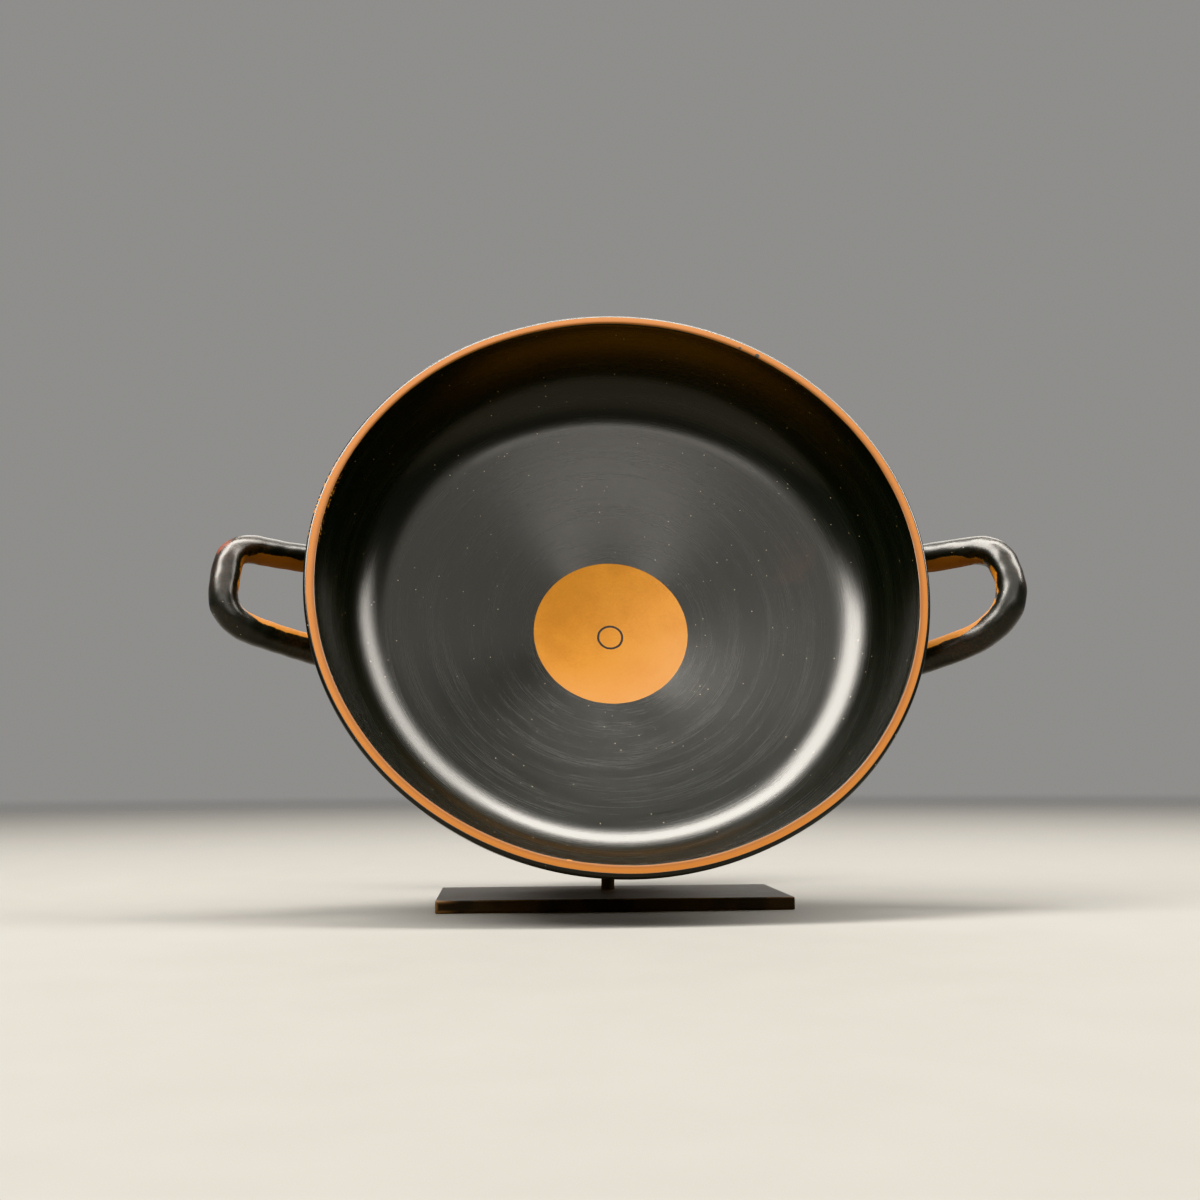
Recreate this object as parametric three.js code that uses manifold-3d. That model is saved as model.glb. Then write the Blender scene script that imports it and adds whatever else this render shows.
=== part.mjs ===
// A kylix: a shallow, footed Greek drinking cup of fired clay with two loop handles. It lies tilted,
// mouth forward, in the cradle of a small bronze display stand.
//
// Millimetres. +Z is up, +X runs along the two handles and the mouth faces -Y. The origin is the
// middle of the base plate's underside, which the whole thing stands on.

import * as THREE from 'three';
import { mergeVertices } from 'three/addons/utils/BufferGeometryUtils.js';
import Module from 'manifold-3d';

const wasm = await Module();
wasm.setup();

// ---------------------------------------------------------------- driving dimensions

const TOUCH_GAP = 0.3; // air left between two pieces that touch

// The cup, in its own frame: the axis is Z, the lip lies in the plane z = 0 and the foot is below.
const LIP_RADIUS = 106.2;
const LIP_ROUNDING = 1.3; // outside of the lip
const LIP_INNER_ROUNDING = 1;
const WALL = 4;
const BOWL_DEPTH = 55.7;
const DISH_RADIUS = 84; // the shallow round hollow in the middle of the floor
const FLOOR_SLOPE = 17; // degrees above level, where the floor runs straight
const WALL_RADIUS = 75; // the slightly bowed wall
const WALL_FOOT_SLOPE = 64; // degrees, where the wall turns into the knee that meets the floor
const LIP_SLOPE = 80; // degrees, just under the lip
const AROUND = 60; // facets round the axis
const DISH_STEPS = 3; // facets along each bend of the profile
const WALL_STEPS = 3;
const KNEE_STEPS = 5;
const BEND_STEPS = 3;
const FOOT_EDGE_STEPS = 4;
const CUT_OVERRUN = 1; // how far a cut runs past the face it opens

const STEM_RADIUS = 10;
const STEM_SPREAD = 3.2; // how much wider the stem is where it meets the foot
const NECK_ROUNDING = 9;
const INSTEP_ROUNDING = 11;
const CUP_HEIGHT = 131;
const FOOT_RADIUS = 44;
const FOOT_EDGE = 3; // radius of the foot's rounded edge
const FOOT_TOP_SLOPE = 13;
const FOOT_RING = 5; // width of the ring that the foot rests on
const FOOT_HOLLOW_RISE = 11; // from the ring to the bend where the hollow turns up into the stem
const STEM_BORE = 5;
const STEM_BORE_FOOT = -104; // the bore starts here and ends in a point at its top
const STEM_BORE_TOP = -84;

// Each handle is a round rod bent to a loop, made by hand and so not quite its neighbour's twin. side
// is the sign of its X. Seen along the axis, the middle line runs from one root to the high corner,
// the low corner and the other root, and each corner is rounded over its bend length.
const HANDLE_LEFT = {
  side: -1,
  rod: 5.1,
  rootHigh: 19.6,
  cornerHigh: new THREE.Vector2(132.8, 14.3),
  cornerLow: new THREE.Vector2(134, -14.1),
  rootLow: -20.1,
  bendHigh: 9.2,
  bendLow: 10.6,
};
const HANDLE_RIGHT = {
  side: 1,
  rod: 5.4,
  rootHigh: 20.8,
  cornerHigh: new THREE.Vector2(134.1, 14.6),
  cornerLow: new THREE.Vector2(139.5, -15.6),
  rootLow: -26.4,
  bendHigh: 8.3,
  bendLow: 19.7,
};
const HANDLE_ROOT_AT = 85; // distance of the roots from the cup's axis, along X
const HANDLE_ARM_Z = -27.5; // height of the arms where they pass under the lip
const HANDLE_RISE = 0.438; // slope of the arms there
const HANDLE_UPSWEEP = 0.0075; // growth of that slope for each millimetre further out
const ROOT_FLARE = 1.35; // thickness of the clay at a root, as a share of the rod's
const ROOT_FLARE_LENGTH = 13;
const HANDLE_POINTS = 24; // points on the middle line
const HANDLE_STEPS = 32; // facets along the rod and round it
const HANDLE_SIDES = 10;
const FLARE_SIDES = 12;

// The pose of the cup on its stand.
const LIP_CENTRE = new THREE.Vector3(1, -43.9, 115.2);
const MOUTH_RISE = 19.3; // degrees that the cup's axis points above level

// The stand.
const PLATE_WIDTH = 122.3;
const PLATE_DEPTH = 56.6;
const PLATE_THICKNESS = 4.3;
const PLATE_CHAMFER = 0.5;
const POST_RADIUS = 2.4;
const POST_SOCKET_DEPTH = 2.5;
const POST_AT = new THREE.Vector2(0, 12); // a little behind the plate's middle, under the load
const CRADLE_ROD = 2;
const SADDLE_AT = 60; // radius on the bowl's floor that the saddle carries
const SADDLE_HALF_ANGLE = 40;
const YOKE_Z = -80; // place on the stem, in the cup's frame
const YOKE_HALF_ANGLE = 110;
const CRADLE_SIDES = 8; // facets round the bent rods, the post and its socket
const POST_SIDES = 20;
const SOCKET_SIDES = 24;
const SADDLE_STEPS = 12;
const YOKE_STEPS = 16;
const HOOP_POINTS = 16;

// ---------------------------------------------------------------- materials

const CLAY_GLOSS = new THREE.MeshStandardMaterial({ color: 0x1a1916, roughness: 0.3, metalness: 0 });
const PLATE_BRONZE = new THREE.MeshStandardMaterial({ color: 0x2b2019, roughness: 0.42, metalness: 0.8 });
const ROD_BRONZE = new THREE.MeshStandardMaterial({ color: 0x231c17, roughness: 0.5, metalness: 0.8 });

// ---------------------------------------------------------------- helpers

const radians = THREE.MathUtils.degToRad;

// A unit vector in the (radius, height) half plane that points down and out of a bowl whose surface
// climbs outwards at the slope given.
function outwardNormal(slope) {
  return new THREE.Vector2(Math.sin(radians(slope)), -Math.cos(radians(slope)));
}

// Points on an arc, from one slope to the other, both ends included.
function arc(centre, radius, fromSlope, toSlope, steps) {
  const points = [];
  for (let i = 0; i <= steps; i += 1) {
    const slope = THREE.MathUtils.lerp(fromSlope, toSlope, i / steps);
    points.push(outwardNormal(slope).multiplyScalar(radius).add(centre));
  }
  return points;
}

// Joins stretches of a profile and drops points that repeat the one before.
function joinStretches(...stretches) {
  const points = [];
  for (const point of stretches.flat()) {
    const last = points[points.length - 1];
    if (!last || last.distanceTo(point) > 0.01) {
      points.push(point);
    }
  }
  return points;
}

// A closed surface becomes a solid that can be joined and cut.
function toSolid(geometry) {
  geometry.deleteAttribute('normal');
  geometry.deleteAttribute('uv');
  const merged = mergeVertices(geometry, 1e-4);
  const corners = [];
  for (let i = 0; i < merged.index.count; i += 3) {
    const [a, b, c] = [0, 1, 2].map((k) => merged.index.getX(i + k));
    if (a !== b && b !== c && c !== a) {
      corners.push(a, b, c);
    }
  }
  const mesh = new wasm.Mesh({
    numProp: 3,
    vertProperties: new Float32Array(merged.attributes.position.array),
    triVerts: new Uint32Array(corners),
  });
  return new wasm.Manifold(mesh);
}

function toMesh(solid, name, material) {
  const { vertProperties, triVerts } = solid.getMesh();
  const geometry = new THREE.BufferGeometry();
  geometry.setAttribute('position', new THREE.BufferAttribute(new Float32Array(vertProperties), 3));
  geometry.setIndex(new THREE.BufferAttribute(new Uint32Array(triVerts), 1));
  geometry.computeVertexNormals();
  const mesh = new THREE.Mesh(geometry, material);
  mesh.name = name;
  return mesh;
}

// Turns a profile of (radius, height) points, listed from the bottom of the axis to its top.
function turned(profile) {
  return toSolid(new THREE.LatheGeometry(profile, AROUND).rotateX(Math.PI / 2));
}

// A round rod along a smooth line through the points.
function rodAlong(points, radius, steps, sides) {
  const section = new THREE.Shape();
  section.absarc(0, 0, radius, 0, 2 * Math.PI);
  const extrudePath = new THREE.CatmullRomCurve3(points);
  const options = { extrudePath, steps, curveSegments: sides / 2, bevelEnabled: false };
  return toSolid(new THREE.ExtrudeGeometry(section, options));
}

// ---------------------------------------------------------------- the cup

// The bowl's profile from the axis out to just under the lip. offset 0 is the inside; the wall's
// thickness gives the outside, because every stretch keeps its centre and only grows.
function bowlProfile(offset) {
  const dishCentre = new THREE.Vector2(0, DISH_RADIUS - BOWL_DEPTH);
  const dish = arc(dishCentre, DISH_RADIUS + offset, 0, FLOOR_SLOPE, DISH_STEPS);

  const lipInside = new THREE.Vector2(LIP_RADIUS - WALL / Math.sin(radians(LIP_SLOPE)), -LIP_ROUNDING);
  const wallCentre = lipInside.addScaledVector(outwardNormal(LIP_SLOPE), -WALL_RADIUS);
  const wall = arc(wallCentre, WALL_RADIUS + offset, WALL_FOOT_SLOPE, LIP_SLOPE, WALL_STEPS);

  // The knee is the one arc that is tangent to the floor's straight stretch and to the wall's foot.
  const wallFoot = outwardNormal(WALL_FOOT_SLOPE).multiplyScalar(WALL_RADIUS).add(wallCentre);
  const aboveFloor = DISH_RADIUS - wallFoot.clone().sub(dishCentre).dot(outwardNormal(FLOOR_SLOPE));
  const kneeRadius = aboveFloor / (1 - Math.cos(radians(WALL_FOOT_SLOPE - FLOOR_SLOPE)));
  const kneeCentre = wallFoot.addScaledVector(outwardNormal(WALL_FOOT_SLOPE), -kneeRadius);
  const knee = arc(kneeCentre, kneeRadius + offset, FLOOR_SLOPE, WALL_FOOT_SLOPE, KNEE_STEPS);
  return joinStretches(dish, knee, wall);
}

// Height of the bowl's underside at a radius on its straight, sloping stretch.
function undersideHeight(radius) {
  const start = outwardNormal(FLOOR_SLOPE).multiplyScalar(DISH_RADIUS + WALL);
  start.y += DISH_RADIUS - BOWL_DEPTH;
  return start.y + (radius - start.x) * Math.tan(radians(FLOOR_SLOPE));
}

// Half the foot's edge, from the resting face round to the top.
function footEdge() {
  const centre = new THREE.Vector2(FOOT_RADIUS - FOOT_EDGE, FOOT_EDGE - CUP_HEIGHT);
  return arc(centre, FOOT_EDGE, 0, 180 - FOOT_TOP_SLOPE, FOOT_EDGE_STEPS);
}

// Centre of the instep, the bend that turns the foot's sloping top up into the stem.
function instepCentre() {
  const edgeTop = footEdge().pop();
  const stemFootRadius = STEM_RADIUS + STEM_SPREAD;
  const run = edgeTop.x - stemFootRadius - INSTEP_ROUNDING * (1 - Math.sin(radians(FOOT_TOP_SLOPE)));
  const climb = run * Math.tan(radians(FOOT_TOP_SLOPE)) + INSTEP_ROUNDING * Math.cos(radians(FOOT_TOP_SLOPE));
  return new THREE.Vector2(stemFootRadius + INSTEP_ROUNDING, edgeTop.y + climb);
}

// Centre of the neck, the bend that turns the stem out into the bowl's underside.
function neckCentre() {
  const radius = STEM_RADIUS + NECK_ROUNDING;
  const height = undersideHeight(radius) - NECK_ROUNDING / Math.cos(radians(FLOOR_SLOPE));
  return new THREE.Vector2(radius, height);
}

// The stem narrows upwards from the instep to the neck.
function stemRadius(height) {
  const share = THREE.MathUtils.inverseLerp(instepCentre().y, neckCentre().y, height);
  return STEM_RADIUS + STEM_SPREAD * (1 - share) ** 2;
}

// Foot, stem and the outside of the bowl, closed flat across the lip.
function outerProfile() {
  const instep = arc(instepCentre(), INSTEP_ROUNDING, -FOOT_TOP_SLOPE, -90, BEND_STEPS);
  const neck = arc(neckCentre(), NECK_ROUNDING, -90, FLOOR_SLOPE - 180, BEND_STEPS);
  const stem = [];
  for (let i = 1; i <= BEND_STEPS; i += 1) {
    const height = THREE.MathUtils.lerp(instepCentre().y, neckCentre().y, i / (BEND_STEPS + 1));
    stem.push(new THREE.Vector2(stemRadius(height), height));
  }

  // The neck stands where the dish's underside would be, so the bowl starts at the straight floor.
  const bowl = bowlProfile(WALL).slice(DISH_STEPS);
  const lipCentre = new THREE.Vector2(LIP_RADIUS - LIP_ROUNDING, -LIP_ROUNDING);
  const lip = arc(lipCentre, LIP_ROUNDING, 90, 180, BEND_STEPS);
  const bottom = [new THREE.Vector2(0, -CUP_HEIGHT)];
  const across = [new THREE.Vector2(0, 0)];
  return joinStretches(bottom, footEdge(), instep, stem, neck, bowl, lip, across);
}

// The hollow of the bowl, closed flat a little above the lip.
function bowlHollowProfile() {
  const inside = bowlProfile(0);
  const top = inside[inside.length - 1];
  const centre = new THREE.Vector2(top.x + LIP_INNER_ROUNDING, -LIP_INNER_ROUNDING);
  const lip = arc(centre, LIP_INNER_ROUNDING, LIP_SLOPE - 180, -180, BEND_STEPS);
  const mouth = [new THREE.Vector2(centre.x, CUT_OVERRUN), new THREE.Vector2(0, CUT_OVERRUN)];
  return joinStretches(inside.slice(0, -1), lip, mouth);
}

// The hollow under the foot: a wide bell that turns up into the bore of the stem.
function footHollowProfile() {
  const mouth = new THREE.Vector2(FOOT_RADIUS - FOOT_EDGE - FOOT_RING, -CUP_HEIGHT);
  const bend = new THREE.Vector2(STEM_BORE, FOOT_HOLLOW_RISE - CUP_HEIGHT);
  const boreFoot = new THREE.Vector2(STEM_BORE, STEM_BORE_FOOT);
  const bell = new THREE.QuadraticBezierCurve(mouth, bend, boreFoot).getPoints(KNEE_STEPS);
  const below = mouth.y - CUT_OVERRUN;
  const opening = [new THREE.Vector2(0, below), new THREE.Vector2(mouth.x, below)];
  return joinStretches(opening, bell, [new THREE.Vector2(0, STEM_BORE_TOP)]);
}

// Clay smeared round a handle's root: a cone that thickens towards the bowl and ends in a ball.
function rootFlare(root, along, rod) {
  const thick = rod * ROOT_FLARE;
  const cone = new THREE.CylinderGeometry(thick, rod, ROOT_FLARE_LENGTH, FLARE_SIDES);
  cone.translate(0, -ROOT_FLARE_LENGTH / 2, 0);
  cone.applyQuaternion(new THREE.Quaternion().setFromUnitVectors(new THREE.Vector3(0, 1, 0), along));
  cone.translate(root.x, root.y, root.z);
  const ball = new THREE.SphereGeometry(thick, FLARE_SIDES, FLARE_SIDES / 2);
  ball.translate(root.x, root.y, root.z);
  return toSolid(cone).add(toSolid(ball));
}

function handle(shape) {
  const { cornerHigh, cornerLow, bendHigh, bendLow } = shape;
  const towards = (from, to, length) => to.clone().sub(from).setLength(length).add(from);
  const rootHigh = new THREE.Vector2(HANDLE_ROOT_AT, shape.rootHigh);
  const rootLow = new THREE.Vector2(HANDLE_ROOT_AT, shape.rootLow);
  const highStart = towards(cornerHigh, rootHigh, bendHigh);
  const highEnd = towards(cornerHigh, cornerLow, bendHigh);
  const lowStart = towards(cornerLow, cornerHigh, bendLow);
  const lowEnd = towards(cornerLow, rootLow, bendLow);
  const plan = new THREE.Path();
  plan.moveTo(rootHigh.x, rootHigh.y);
  plan.lineTo(highStart.x, highStart.y);
  plan.quadraticCurveTo(cornerHigh.x, cornerHigh.y, highEnd.x, highEnd.y);
  plan.lineTo(lowStart.x, lowStart.y);
  plan.quadraticCurveTo(cornerLow.x, cornerLow.y, lowEnd.x, lowEnd.y);
  plan.lineTo(rootLow.x, rootLow.y);
  const middleLine = plan.getSpacedPoints(HANDLE_POINTS).map(({ x, y }) => {
    const out = x - LIP_RADIUS;
    const z = HANDLE_ARM_Z + HANDLE_RISE * out + HANDLE_UPSWEEP * out * out;
    return new THREE.Vector3(shape.side * x, y, z);
  });
  const [start, afterStart] = middleLine;
  const [beforeEnd, end] = middleLine.slice(-2);
  const rod = rodAlong(middleLine, shape.rod, HANDLE_STEPS, HANDLE_SIDES);
  const highRoot = rootFlare(start, start.clone().sub(afterStart).normalize(), shape.rod);
  const lowRoot = rootFlare(end, end.clone().sub(beforeEnd).normalize(), shape.rod);
  return rod.add(highRoot).add(lowRoot);
}

function kylix() {
  const outside = turned(outerProfile()).add(handle(HANDLE_LEFT)).add(handle(HANDLE_RIGHT));
  const cup = outside.subtract(turned(bowlHollowProfile())).subtract(turned(footHollowProfile()));
  const mesh = toMesh(cup, 'kylix', CLAY_GLOSS);
  mesh.rotation.x = radians(90 - MOUTH_RISE);
  mesh.position.copy(LIP_CENTRE);
  return mesh;
}

// ---------------------------------------------------------------- the stand

function basePlate() {
  const half = new THREE.Vector2(PLATE_WIDTH / 2 - PLATE_CHAMFER, PLATE_DEPTH / 2 - PLATE_CHAMFER);
  const outline = new THREE.Shape([
    new THREE.Vector2(-half.x, -half.y),
    new THREE.Vector2(half.x, -half.y),
    new THREE.Vector2(half.x, half.y),
    new THREE.Vector2(-half.x, half.y),
  ]);
  const slab = new THREE.ExtrudeGeometry(outline, {
    depth: PLATE_THICKNESS - 2 * PLATE_CHAMFER,
    bevelThickness: PLATE_CHAMFER,
    bevelSize: PLATE_CHAMFER,
    bevelSegments: 1,
  });
  slab.translate(0, 0, PLATE_CHAMFER);
  const socketRadius = POST_RADIUS + TOUCH_GAP;
  const socketHeight = POST_SOCKET_DEPTH + CUT_OVERRUN;
  const socket = new THREE.CylinderGeometry(socketRadius, socketRadius, socketHeight, SOCKET_SIDES);
  socket.rotateX(Math.PI / 2);
  socket.translate(POST_AT.x, POST_AT.y, PLATE_THICKNESS - POST_SOCKET_DEPTH + socketHeight / 2);
  return toMesh(toSolid(slab).subtract(toSolid(socket)), 'base_plate', PLATE_BRONZE);
}

// A point at a radius, an angle round the axis (0 is straight under the cup as it lies) and a height,
// in the cup's own frame, moved to where the cup lies.
function besideCup(radius, angle, z) {
  const point = new THREE.Vector3(radius * Math.sin(radians(angle)), -radius * Math.cos(radians(angle)), z);
  return point.applyAxisAngle(new THREE.Vector3(1, 0, 0), radians(90 - MOUTH_RISE)).add(LIP_CENTRE);
}

// A bent rod's middle line, round the underside of the cup from -halfAngle to halfAngle.
function hoopAround(radius, z, halfAngle) {
  const points = [];
  for (let i = 0; i <= HOOP_POINTS; i += 1) {
    points.push(besideCup(radius, THREE.MathUtils.lerp(-halfAngle, halfAngle, i / HOOP_POINTS), z));
  }
  return points;
}

// One brazed piece: the post, a sloping spine, a saddle under the bowl and an open yoke for the stem.
function cradlePost() {
  const clear = TOUCH_GAP + CRADLE_ROD;
  const under = outwardNormal(FLOOR_SLOPE).multiplyScalar(clear);
  const saddleRadius = SADDLE_AT + under.x;
  const saddleZ = undersideHeight(SADDLE_AT) + under.y;
  // The yoke's straight facets cut inside its arc, so the arc stands out until they keep the gap.
  const yokeRadius = (stemRadius(YOKE_Z) + clear) / Math.cos(radians(YOKE_HALF_ANGLE / YOKE_STEPS));
  const saddleLine = hoopAround(saddleRadius, saddleZ, SADDLE_HALF_ANGLE);
  const saddle = rodAlong(saddleLine, CRADLE_ROD, SADDLE_STEPS, CRADLE_SIDES);
  const yokeLine = hoopAround(yokeRadius, YOKE_Z, YOKE_HALF_ANGLE);
  const yoke = rodAlong(yokeLine, CRADLE_ROD, YOKE_STEPS, CRADLE_SIDES);

  const saddleFoot = besideCup(saddleRadius, 0, saddleZ);
  const yokeFoot = besideCup(yokeRadius, 0, YOKE_Z);
  const spine = rodAlong([saddleFoot, yokeFoot], CRADLE_ROD, 1, CRADLE_SIDES);
  const postTop = THREE.MathUtils.mapLinear(POST_AT.y, saddleFoot.y, yokeFoot.y, saddleFoot.z, yokeFoot.z);
  const postBottom = PLATE_THICKNESS - POST_SOCKET_DEPTH + TOUCH_GAP;
  const post = new THREE.CylinderGeometry(POST_RADIUS, POST_RADIUS, postTop - postBottom, POST_SIDES);
  post.rotateX(Math.PI / 2);
  post.translate(POST_AT.x, POST_AT.y, (postTop + postBottom) / 2);
  const solid = toSolid(post).add(spine).add(saddle).add(yoke);
  return toMesh(solid, 'cradle_post', ROD_BRONZE);
}

const model = new THREE.Group();
model.add(basePlate(), cradlePost(), kylix());

export default model;
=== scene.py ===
# %% The frame
import math

import bmesh
import bpy
import numpy as np
from mathutils import Matrix, Vector


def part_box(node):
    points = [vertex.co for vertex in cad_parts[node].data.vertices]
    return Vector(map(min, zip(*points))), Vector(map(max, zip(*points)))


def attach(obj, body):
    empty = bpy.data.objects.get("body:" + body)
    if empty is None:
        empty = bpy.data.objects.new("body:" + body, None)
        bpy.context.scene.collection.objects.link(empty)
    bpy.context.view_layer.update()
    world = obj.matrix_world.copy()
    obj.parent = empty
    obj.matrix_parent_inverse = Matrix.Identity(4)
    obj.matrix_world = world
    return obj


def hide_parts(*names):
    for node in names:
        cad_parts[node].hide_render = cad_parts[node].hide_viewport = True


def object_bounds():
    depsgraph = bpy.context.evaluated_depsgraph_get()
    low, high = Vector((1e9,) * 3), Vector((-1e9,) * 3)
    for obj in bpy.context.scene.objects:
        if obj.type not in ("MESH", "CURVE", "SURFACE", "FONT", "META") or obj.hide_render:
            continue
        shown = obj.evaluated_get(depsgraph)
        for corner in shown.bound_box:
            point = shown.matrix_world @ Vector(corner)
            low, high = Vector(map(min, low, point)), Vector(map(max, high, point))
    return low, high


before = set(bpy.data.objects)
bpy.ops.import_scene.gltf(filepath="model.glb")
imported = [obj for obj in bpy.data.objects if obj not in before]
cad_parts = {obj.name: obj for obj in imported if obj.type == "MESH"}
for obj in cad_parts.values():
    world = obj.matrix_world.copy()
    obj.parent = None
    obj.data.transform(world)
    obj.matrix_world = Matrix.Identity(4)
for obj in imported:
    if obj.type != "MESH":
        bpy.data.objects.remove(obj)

MM = 0.001
cad_low, cad_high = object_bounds()
print("solids:", sorted(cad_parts), "size in mm:", [round(s / MM, 1) for s in cad_high - cad_low])

# %% [markdown]
# This notebook dresses three solids: a Greek drinking cup of fired clay (a kylix), the flat metal plate
# of its display stand, and the thin post and cradle that hold the cup tilted. The solids are already the
# right size and in the right place, in metres with Z up. Here each one gets a finer surface and a finish,
# and every new piece rides on the same body as the solid it stands for.

# %% [markdown]
# A thrown cup is round because it spins. So it is described once, as a profile of (radius, height)
# points, and turned about its axis. Arcs that share a tangent give the soft bends a potter's thumb
# leaves. One helper makes an arc from one slope to another, and another cuts long stretches into short
# ones, so that the surface has enough points to be slightly uneven later.

# %% Profile helpers
SAME_POINT = 0.01 * MM


def outward(slope):
    """Unit vector in the (radius, height) plane, down and out of a bowl that climbs at this slope."""
    return np.array([math.sin(math.radians(slope)), -math.cos(math.radians(slope))])


def arc(centre, radius, from_slope, to_slope, steps):
    """Points along a circle, from where it climbs at one slope to where it climbs at another."""
    return [centre + radius * outward(s) for s in np.linspace(from_slope, to_slope, steps + 1)]


def refine(points, longest):
    """The same profile with repeats dropped and no stretch longer than given."""
    fine = [np.asarray(points[0], float)]
    for point in points[1:]:
        step = np.asarray(point, float) - fine[-1]
        length = np.linalg.norm(step)
        if length < SAME_POINT:
            continue
        cuts = max(1, math.ceil(length / longest))
        start = fine[-1]
        fine += [start + step * k / cuts for k in range(1, cuts + 1)]
    return fine


# %% [markdown]
# The bowl is shallow: a round dish in the middle, a straight sloping floor, a tight bend (the knee) and
# a steep wall that ends in a thin lip. The inside and the outside are the same curve, one wall apart,
# which is how clay of even thickness behaves. All sizes are named here, in metres.

# %% Sizes of the cup
LIP_RADIUS = 106.2 * MM
LIP_ROUNDING = 1.3 * MM
LIP_INNER_ROUNDING = 1.0 * MM
WALL = 4 * MM
BOWL_DEPTH = 55.7 * MM
DISH_RADIUS = 84 * MM
FLOOR_SLOPE = 17
WALL_RADIUS = 75 * MM
WALL_FOOT_SLOPE = 64
LIP_SLOPE = 80
STEM_RADIUS = 10 * MM
STEM_SPREAD = 3.2 * MM
NECK_ROUNDING = 9 * MM
INSTEP_ROUNDING = 11 * MM
CUP_HEIGHT = 131 * MM
FOOT_RADIUS = 44 * MM
FOOT_EDGE = 3 * MM
FOOT_TOP_SLOPE = 13
FOOT_RING = 5 * MM
FOOT_HOLLOW_RISE = 11 * MM
STEM_BORE = 5 * MM
STEM_BORE_FOOT = -104 * MM
STEM_BORE_TOP = -84 * MM
AROUND = 256
FINE = 2.2 * MM
CUTTER_MARGIN = 1 * MM
STEM_POINTS, BELL_POINTS = 16, 20
print("cup in mm:", round(2 * LIP_RADIUS / MM, 1), "across the lip and", round(CUP_HEIGHT / MM), "high")

# %% [markdown]
# Three arcs and one straight stretch make the bowl's curve. The dish and the wall are placed first. The
# knee's radius isn't chosen but worked out: only one arc touches both the sloping floor and the foot of
# the wall, so the curve stays smooth when one of these is changed.

# %% The bowl's curve
def bowl_curve(offset):
    """Dish, knee and wall up to just under the lip; offset 0 is the inside and WALL the outside."""
    dish_centre = np.array([0, DISH_RADIUS - BOWL_DEPTH])
    dish = arc(dish_centre, DISH_RADIUS + offset, 0, FLOOR_SLOPE, steps=12)
    lip_inside = np.array([LIP_RADIUS - WALL / math.sin(math.radians(LIP_SLOPE)), -LIP_ROUNDING])
    wall_centre = lip_inside - WALL_RADIUS * outward(LIP_SLOPE)
    wall = arc(wall_centre, WALL_RADIUS + offset, WALL_FOOT_SLOPE, LIP_SLOPE, steps=10)
    wall_foot = wall_centre + WALL_RADIUS * outward(WALL_FOOT_SLOPE)
    above_floor = DISH_RADIUS - (wall_foot - dish_centre) @ outward(FLOOR_SLOPE)
    knee_radius = above_floor / (1 - math.cos(math.radians(WALL_FOOT_SLOPE - FLOOR_SLOPE)))
    knee_centre = wall_foot - knee_radius * outward(WALL_FOOT_SLOPE)
    knee = arc(knee_centre, knee_radius + offset, FLOOR_SLOPE, WALL_FOOT_SLOPE, steps=20)
    return dish, knee, wall


def underside(radius):
    """Height of the sloping underside of the bowl at this radius."""
    start = outward(FLOOR_SLOPE) * (DISH_RADIUS + WALL) + [0, DISH_RADIUS - BOWL_DEPTH]
    return start[1] + (radius - start[0]) * math.tan(math.radians(FLOOR_SLOPE))


inside_dish, inside_knee, inside_wall = bowl_curve(0)
print("knee of the bowl starts at radius", round(inside_knee[0][0] / MM, 1), "mm")

# %% [markdown]
# Below the bowl a slender stem widens into a flat, round-edged foot, hollow underneath so that it fires
# without cracking. The whole outside is one profile, from the foot up and over the lip.

# %% Foot, stem and lip
foot_edge = arc(np.array([FOOT_RADIUS - FOOT_EDGE, FOOT_EDGE - CUP_HEIGHT]), FOOT_EDGE, 0,
                180 - FOOT_TOP_SLOPE, steps=14)
tilt = math.radians(FOOT_TOP_SLOPE)
instep_x = STEM_RADIUS + STEM_SPREAD + INSTEP_ROUNDING
run = foot_edge[-1][0] - (STEM_RADIUS + STEM_SPREAD) - INSTEP_ROUNDING * (1 - math.sin(tilt))
instep_centre = np.array([instep_x, foot_edge[-1][1] + run * math.tan(tilt)
                          + INSTEP_ROUNDING * math.cos(tilt)])
neck_x = STEM_RADIUS + NECK_ROUNDING
neck_centre = np.array([neck_x, underside(neck_x) - NECK_ROUNDING / math.cos(math.radians(FLOOR_SLOPE))])


def stem_radius(height):
    """The stem is thinnest under the bowl and spreads towards the foot."""
    share = (height - instep_centre[1]) / (neck_centre[1] - instep_centre[1])
    return STEM_RADIUS + STEM_SPREAD * (1 - share) ** 2


def outside_profile():
    """From the middle of the foot's underside, out and up over the lip, to the middle of its plane."""
    instep = arc(instep_centre, INSTEP_ROUNDING, -FOOT_TOP_SLOPE, -90, steps=14)
    stem = [np.array([stem_radius(h), h])
            for h in np.linspace(instep_centre[1], neck_centre[1], STEM_POINTS)[1:-1]]
    neck = arc(neck_centre, NECK_ROUNDING, -90, FLOOR_SLOPE - 180, steps=14)
    dish, knee, wall = bowl_curve(WALL)
    lip = arc(np.array([LIP_RADIUS - LIP_ROUNDING, -LIP_ROUNDING]), LIP_ROUNDING, 90, 180, steps=8)
    points = [(0, -CUP_HEIGHT), *foot_edge, *instep, *stem, *neck, dish[-1], *knee, *wall, *lip, (0, 0)]
    return refine(points, FINE)


def bowl_hollow():
    """The shape that is cut out of the bowl; it rises past the lip by the cutter's margin."""
    top = inside_wall[-1]
    centre = np.array([top[0] + LIP_INNER_ROUNDING, -LIP_INNER_ROUNDING])
    lip = arc(centre, LIP_INNER_ROUNDING, LIP_SLOPE - 180, -180, steps=8)
    points = [*inside_dish, *inside_knee, *inside_wall[:-1], *lip,
              (centre[0], CUTTER_MARGIN), (0, CUTTER_MARGIN)]
    return refine(points, FINE)


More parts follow.
